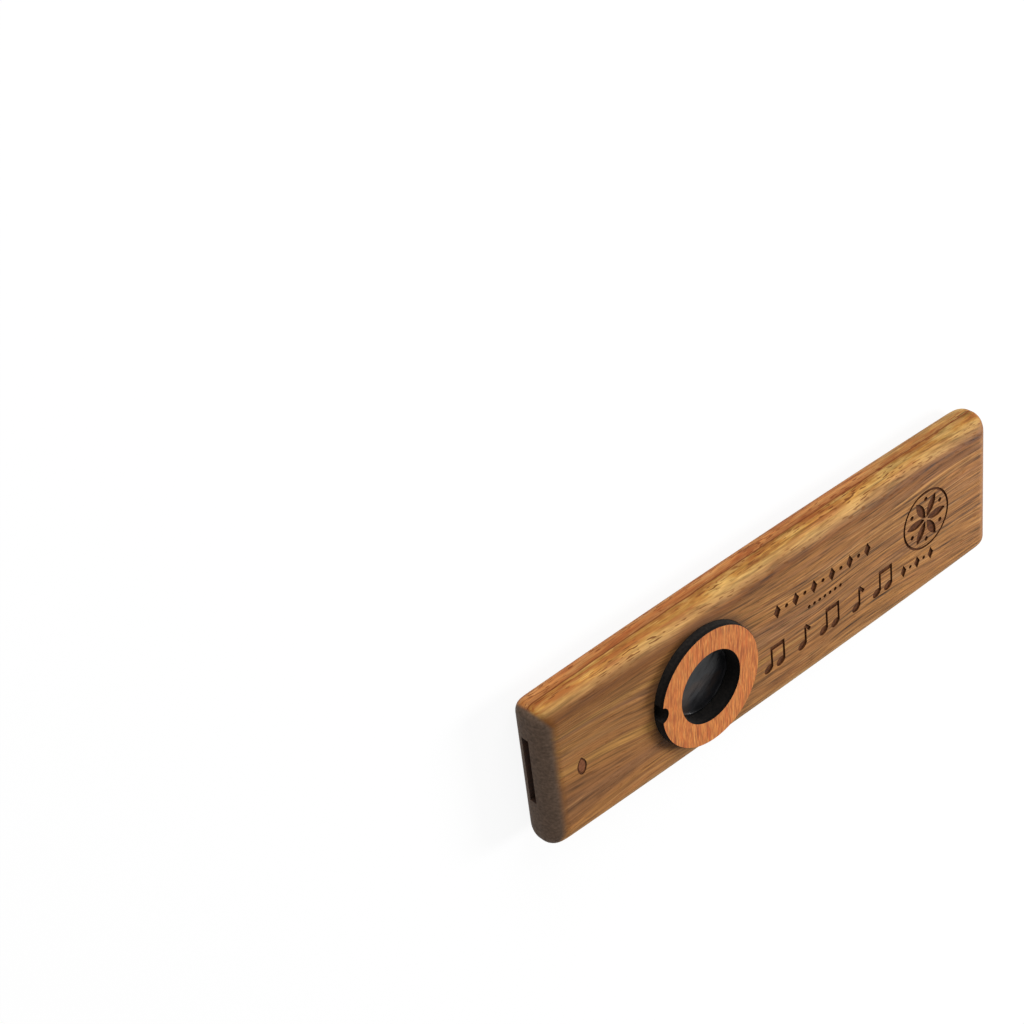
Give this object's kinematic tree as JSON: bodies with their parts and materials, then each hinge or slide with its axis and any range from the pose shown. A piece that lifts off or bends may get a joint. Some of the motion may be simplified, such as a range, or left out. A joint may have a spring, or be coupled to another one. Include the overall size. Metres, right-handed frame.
{
  "type": "kazoo",
  "caption": "Flat wooden kazoo of glued boards with an air channel, a membrane in a round seat, and a notched push-in ring that holds the membrane.",
  "frame": {"origin": "middle of the flat back, under the middle of the body", "axes": "+X from the mouth end to the far end, +Y across the body, +Z out of the face that holds the ring"},
  "size_m": [0.12, 0.0334, 0.0112],
  "materials": {
    "front_wood": "satin",
    "back_wood": "satin",
    "rim_plastic": "satin",
    "film": "gloss",
    "ring_wood": "satin"
  },
  "bodies": {
    "body": {"front_board": "front_wood", "back_board": "back_wood"},
    "membrane": {"membrane_rim": "rim_plastic", "membrane_film": "film"},
    "ring": {"retaining_ring": "ring_wood"}
  },
  "joints": [
    {"name": "membrane_lift", "type": "slide", "parent": "body", "child": "membrane", "axis": [0, 0, 1], "range_m": [0, 0.02]},
    {"name": "ring_pull", "type": "slide", "parent": "membrane", "child": "ring", "axis": [0, 0, 1], "range_m": [0, 0.02]}
  ]
}
